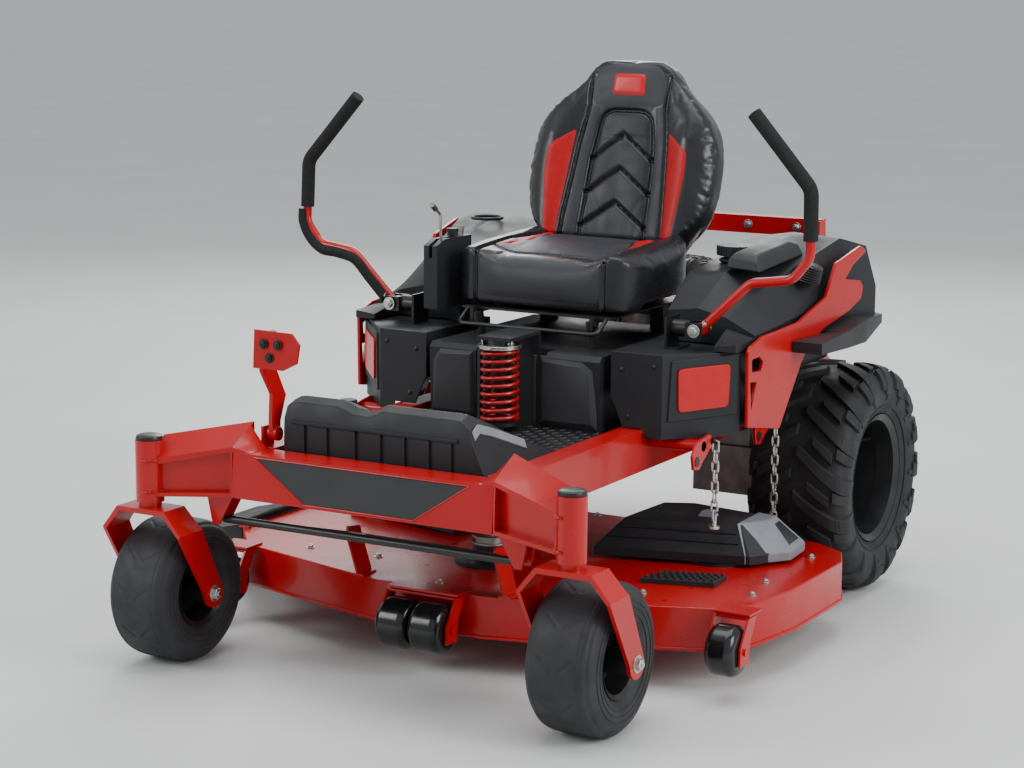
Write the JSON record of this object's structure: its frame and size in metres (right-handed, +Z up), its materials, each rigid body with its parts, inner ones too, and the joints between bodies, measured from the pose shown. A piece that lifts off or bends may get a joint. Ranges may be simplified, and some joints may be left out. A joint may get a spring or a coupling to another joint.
{
  "type": "zero turn mower",
  "caption": "Ride-on zero turn lawn mower with front casters, suspended operator platform, padded seat, twin motion levers, rear engine and a side-discharge deck.",
  "frame": {"origin": "on the ground under the middle of the overall length and width, chute down; the machine's centre line is at X = +0.120", "axes": "+Y towards the machine's rear, +Z up, +X towards the machine's left"},
  "size_m": [1.697, 2.09, 1.3431],
  "materials": {
    "red_paint": "gloss powder coat",
    "black_paint": "satin powder coat",
    "black_plastic": "textured moulding",
    "roller_plastic": "smooth moulding",
    "tyre_rubber": "matt rubber",
    "seat_vinyl": "grained vinyl",
    "grip_foam": "closed-cell foam",
    "spring_red": "gloss powder coat",
    "cast_aluminium": "as cast",
    "muffler_steel": "heat-stained",
    "plain_steel": "bright"
  },
  "bodies": {
    "chassis": {"frame_rails": "red_paint", "front_crossmember": "red_paint", "caster_arm_left": "red_paint", "caster_arm_right": "red_paint", "transaxles": "cast_aluminium", "rear_frame": "red_paint", "engine_block": "cast_aluminium", "engine_shroud": "black_plastic", "muffler": "muffler_steel", "fuel_tank": "black_plastic", "fenders": "black_plastic", "fender_trims": "red_paint", "side_pods": "black_plastic", "control_console": "black_plastic", "lever_mounts": "black_paint", "frame_fittings": "red_paint", "shock_rod": "black_paint"},
    "platform": {"floor_pan": "black_paint", "footrest": "black_plastic", "center_console": "black_plastic", "shock_tube": "black_paint", "shock_spring": "spring_red"},
    "seat": {"seat_plate": "black_paint", "seat_cushion": "seat_vinyl", "seat_back": "seat_vinyl"},
    "deck": {"deck_shell": "red_paint", "spindle_housings": "black_paint", "belt_covers": "black_plastic", "deck_brackets": "red_paint"},
    "throttle": {"throttle_lever": "plain_steel"},
    "key": {"ignition_key": "plain_steel"},
    "blade_switch": {"pto_knob": "black_plastic"},
    "cap": {"fuel_cap": "black_plastic"},
    "clutch": {"pto_pulley": "plain_steel"},
    "chute": {"discharge_chute": "tyre_rubber"},
    "link": {"deck_link": "black_paint"},
    "pedal": {"lift_pedal": "red_paint"},
    "dial": {"height_dial": "black_plastic"},
    "caster_left": {"caster_fork_left": "red_paint"},
    "caster_wheel_left": {"caster_tyre_left": "tyre_rubber", "caster_rim_left": "black_paint"},
    "drive_wheel_left": {"drive_tyre_left": "tyre_rubber", "drive_rim_left": "black_paint"},
    "lever_pivot_left": {"lever_bracket_left": "black_paint"},
    "lever_arm_left": {"lever_left": "red_paint", "lever_grip_left": "grip_foam"},
    "caster_right": {"caster_fork_right": "red_paint"},
    "caster_wheel_right": {"caster_tyre_right": "tyre_rubber", "caster_rim_right": "black_paint"},
    "drive_wheel_right": {"drive_tyre_right": "tyre_rubber", "drive_rim_right": "black_paint"},
    "lever_pivot_right": {"lever_bracket_right": "black_paint"},
    "lever_arm_right": {"lever_right": "red_paint", "lever_grip_right": "grip_foam"},
    "blade_left": {"blade_left": "plain_steel"},
    "roller_left": {"roller_left": "roller_plastic"},
    "blade_centre": {"blade_centre": "plain_steel"},
    "roller_centre": {"roller_centre": "roller_plastic"},
    "blade_right": {"blade_right": "plain_steel"},
    "roller_right": {"roller_right": "roller_plastic"}
  },
  "joints": [
    {"name": "caster_swivel_left", "type": "hinge", "parent": "chassis", "child": "caster_left", "pos_m": [0.659, -0.97, 0.45], "axis": [0, 0, 1], "continuous": true},
    {"name": "caster_spin_left", "type": "hinge", "parent": "caster_left", "child": "caster_wheel_left", "pos_m": [0.659, -0.88, 0.165], "axis": [1, 0, 0], "continuous": true},
    {"name": "drive_spin_left", "type": "hinge", "parent": "chassis", "child": "drive_wheel_left", "pos_m": [0.63, 0.52, 0.292], "axis": [1, 0, 0], "continuous": true},
    {"name": "lever_drive_left", "type": "hinge", "parent": "chassis", "child": "lever_pivot_left", "pos_m": [0.49, -0.125, 0.744], "axis": [1, 0, 0], "range_deg": [-18, 18]},
    {"name": "lever_park_left", "type": "hinge", "parent": "lever_pivot_left", "child": "lever_arm_left", "pos_m": [0.539, -0.125, 0.744], "axis": [0, -1, 0], "range_deg": [0, 38]},
    {"name": "caster_swivel_right", "type": "hinge", "parent": "chassis", "child": "caster_right", "pos_m": [-0.419, -0.97, 0.45], "axis": [0, 0, 1], "continuous": true},
    {"name": "caster_spin_right", "type": "hinge", "parent": "caster_right", "child": "caster_wheel_right", "pos_m": [-0.419, -0.88, 0.165], "axis": [1, 0, 0], "continuous": true},
    {"name": "drive_spin_right", "type": "hinge", "parent": "chassis", "child": "drive_wheel_right", "pos_m": [-0.39, 0.52, 0.292], "axis": [1, 0, 0], "continuous": true},
    {"name": "lever_drive_right", "type": "hinge", "parent": "chassis", "child": "lever_pivot_right", "pos_m": [-0.25, -0.125, 0.744], "axis": [1, 0, 0], "range_deg": [-18, 18]},
    {"name": "lever_park_right", "type": "hinge", "parent": "lever_pivot_right", "child": "lever_arm_right", "pos_m": [-0.299, -0.125, 0.744], "axis": [0, 1, 0], "range_deg": [0, 38]},
    {"name": "suspension", "type": "slide", "parent": "chassis", "child": "platform", "axis": [0, 0, 1], "range_m": [-0.03, 0], "stiffness_N_per_m": 30000, "springref_m": 0.05, "deforming": ["shock_spring"]},
    {"name": "seat_tilt", "type": "hinge", "parent": "platform", "child": "seat", "pos_m": [0.12, -0.172, 0.738], "axis": [1, 0, 0], "range_deg": [0, 55]},
    {"name": "deck_lift", "type": "slide", "parent": "chassis", "child": "deck", "axis": [0, 0, 1], "range_m": [0, 0.06]},
    {"name": "link_swing", "type": "hinge", "parent": "chassis", "child": "link", "pos_m": [0.12, -0.906, 0.352], "axis": [1, 0, 0], "range_deg": [0, 17.2]},
    {"name": "pedal_swing", "type": "hinge", "parent": "chassis", "child": "pedal", "pos_m": [-0.168, -0.838, 0.545], "axis": [1, 0, 0], "range_deg": [0, 25.5]},
    {"name": "clutch_spin", "type": "hinge", "parent": "chassis", "child": "clutch", "pos_m": [0.12, 0.59, 0.42], "axis": [0, 0, 1], "continuous": true},
    {"name": "blade_spin_left", "type": "hinge", "parent": "deck", "child": "blade_left", "pos_m": [0.571, -0.07, 0.15], "axis": [0, 0, 1], "continuous": true},
    {"name": "blade_spin_centre", "type": "hinge", "parent": "deck", "child": "blade_centre", "pos_m": [0.12, -0.37, 0.15], "axis": [0, 0, 1], "continuous": true},
    {"name": "blade_spin_right", "type": "hinge", "parent": "deck", "child": "blade_right", "pos_m": [-0.331, -0.07, 0.15], "axis": [0, 0, 1], "continuous": true},
    {"name": "roller_spin_left", "type": "hinge", "parent": "deck", "child": "roller_left", "pos_m": [0.81, -0.528, 0.112], "axis": [1, 0, 0], "continuous": true},
    {"name": "roller_spin_centre", "type": "hinge", "parent": "deck", "child": "roller_centre", "pos_m": [0.128, -0.714, 0.114], "axis": [1, 0, 0], "continuous": true},
    {"name": "roller_spin_right", "type": "hinge", "parent": "deck", "child": "roller_right", "pos_m": [-0.48, -0.604, 0.112], "axis": [1, 0, 0], "continuous": true},
    {"name": "chute_lift", "type": "hinge", "parent": "deck", "child": "chute", "pos_m": [-0.586, -0.2, 0.1965], "axis": [0, 1, 0], "range_deg": [0, 85]},
    {"name": "throttle_swing", "type": "hinge", "parent": "chassis", "child": "throttle", "pos_m": [-0.161, -0.13, 0.89], "axis": [1, 0, 0], "range_deg": [-18, 18]},
    {"name": "key_turn", "type": "hinge", "parent": "chassis", "child": "key", "pos_m": [-0.161, -0.045, 0.914], "axis": [0, 0, 1], "range_deg": [-60, 0]},
    {"name": "blade_switch_pull", "type": "slide", "parent": "chassis", "child": "blade_switch", "axis": [0, 0, 1], "range_m": [0, 0.012]},
    {"name": "cap_turn", "type": "hinge", "parent": "chassis", "child": "cap", "pos_m": [0.49, 0.18, 0.89], "axis": [0, 0, 1], "continuous": true},
    {"name": "dial_turn", "type": "hinge", "parent": "chassis", "child": "dial", "pos_m": [-0.185, -0.515, 0.54], "axis": [0, 0, 1], "range_deg": [0, 270]}
  ],
  "couplings": [
    {"joint": "link_swing", "follows": "deck_lift", "rad_per_m": 4.88},
    {"joint": "pedal_swing", "follows": "deck_lift", "rad_per_m": 7.27},
    {"joint": "blade_spin_left", "follows": "clutch_spin", "ratio": 1.5429},
    {"joint": "blade_spin_centre", "follows": "clutch_spin", "ratio": 1.5429},
    {"joint": "blade_spin_right", "follows": "clutch_spin", "ratio": 1.5429}
  ]
}
